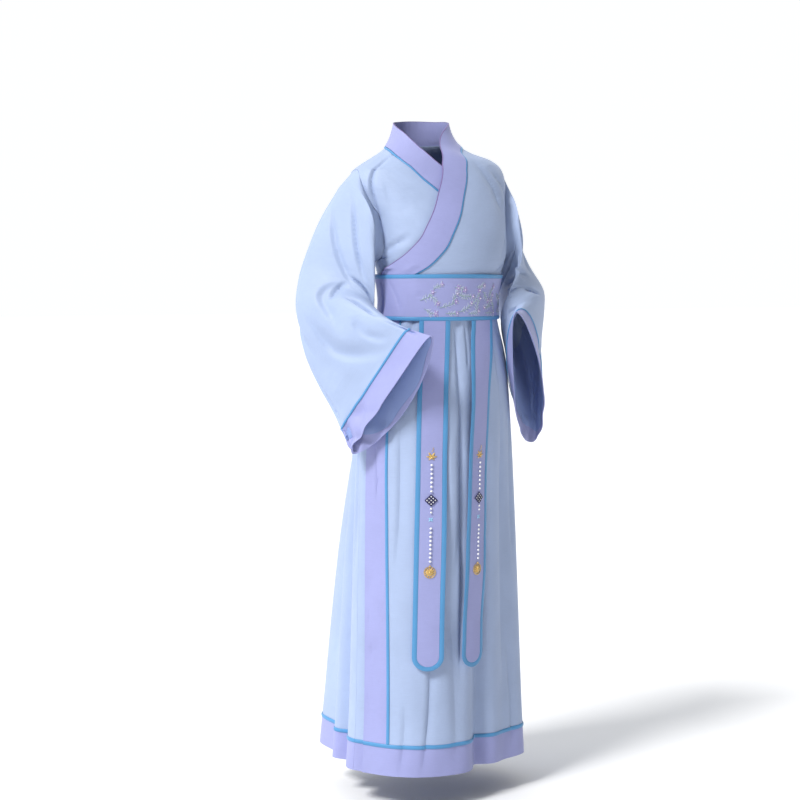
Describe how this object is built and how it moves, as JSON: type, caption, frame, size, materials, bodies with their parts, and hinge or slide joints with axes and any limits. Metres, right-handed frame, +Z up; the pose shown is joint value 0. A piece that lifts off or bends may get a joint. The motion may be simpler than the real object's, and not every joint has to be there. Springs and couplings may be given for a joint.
{
  "type": "hanfu dress",
  "caption": "Cross-collar hanfu dress filled out as worn, with a long collar band, wide cuffed sleeves, a gathered wrap skirt with hem band, a broad belt and hanging ribbons.",
  "frame": {"origin": "middle of the neck base, between the shoulders that hold the dress up", "axes": "+Z up, the garment's front faces -Y, +X towards the wearer's left"},
  "size_m": [0.5745, 0.49, 1.3763],
  "materials": {
    "pale_blue_cloth": "soft satin",
    "lavender_cloth": "soft satin",
    "blue_binding": "satin tape",
    "embroidery": "thread and beads"
  },
  "bodies": {
    "root": {"bodice_over": "pale_blue_cloth", "bodice_under": "pale_blue_cloth", "bodice_back": "pale_blue_cloth", "skirt_over": "pale_blue_cloth", "skirt_under": "pale_blue_cloth", "skirt_back": "pale_blue_cloth", "sleeve_right": "pale_blue_cloth", "sleeve_left": "pale_blue_cloth", "collar_band": "lavender_cloth", "front_band": "lavender_cloth", "hem_over": "lavender_cloth", "hem_under": "lavender_cloth", "hem_back": "lavender_cloth", "cuff_right": "lavender_cloth", "cuff_left": "lavender_cloth", "belt": "lavender_cloth", "ribbon_right": "lavender_cloth", "ribbon_left": "lavender_cloth", "collar_piping_under": "blue_binding", "collar_piping_over": "blue_binding", "front_band_piping": "blue_binding", "hem_piping_over": "blue_binding", "hem_piping_under": "blue_binding", "hem_piping_back": "blue_binding", "cuff_piping_right": "blue_binding", "cuff_piping_left": "blue_binding", "belt_binding_top": "blue_binding", "belt_binding_low": "blue_binding", "ribbon_binding_right": "blue_binding", "ribbon_binding_left": "blue_binding"}
  },
  "joints": []
}
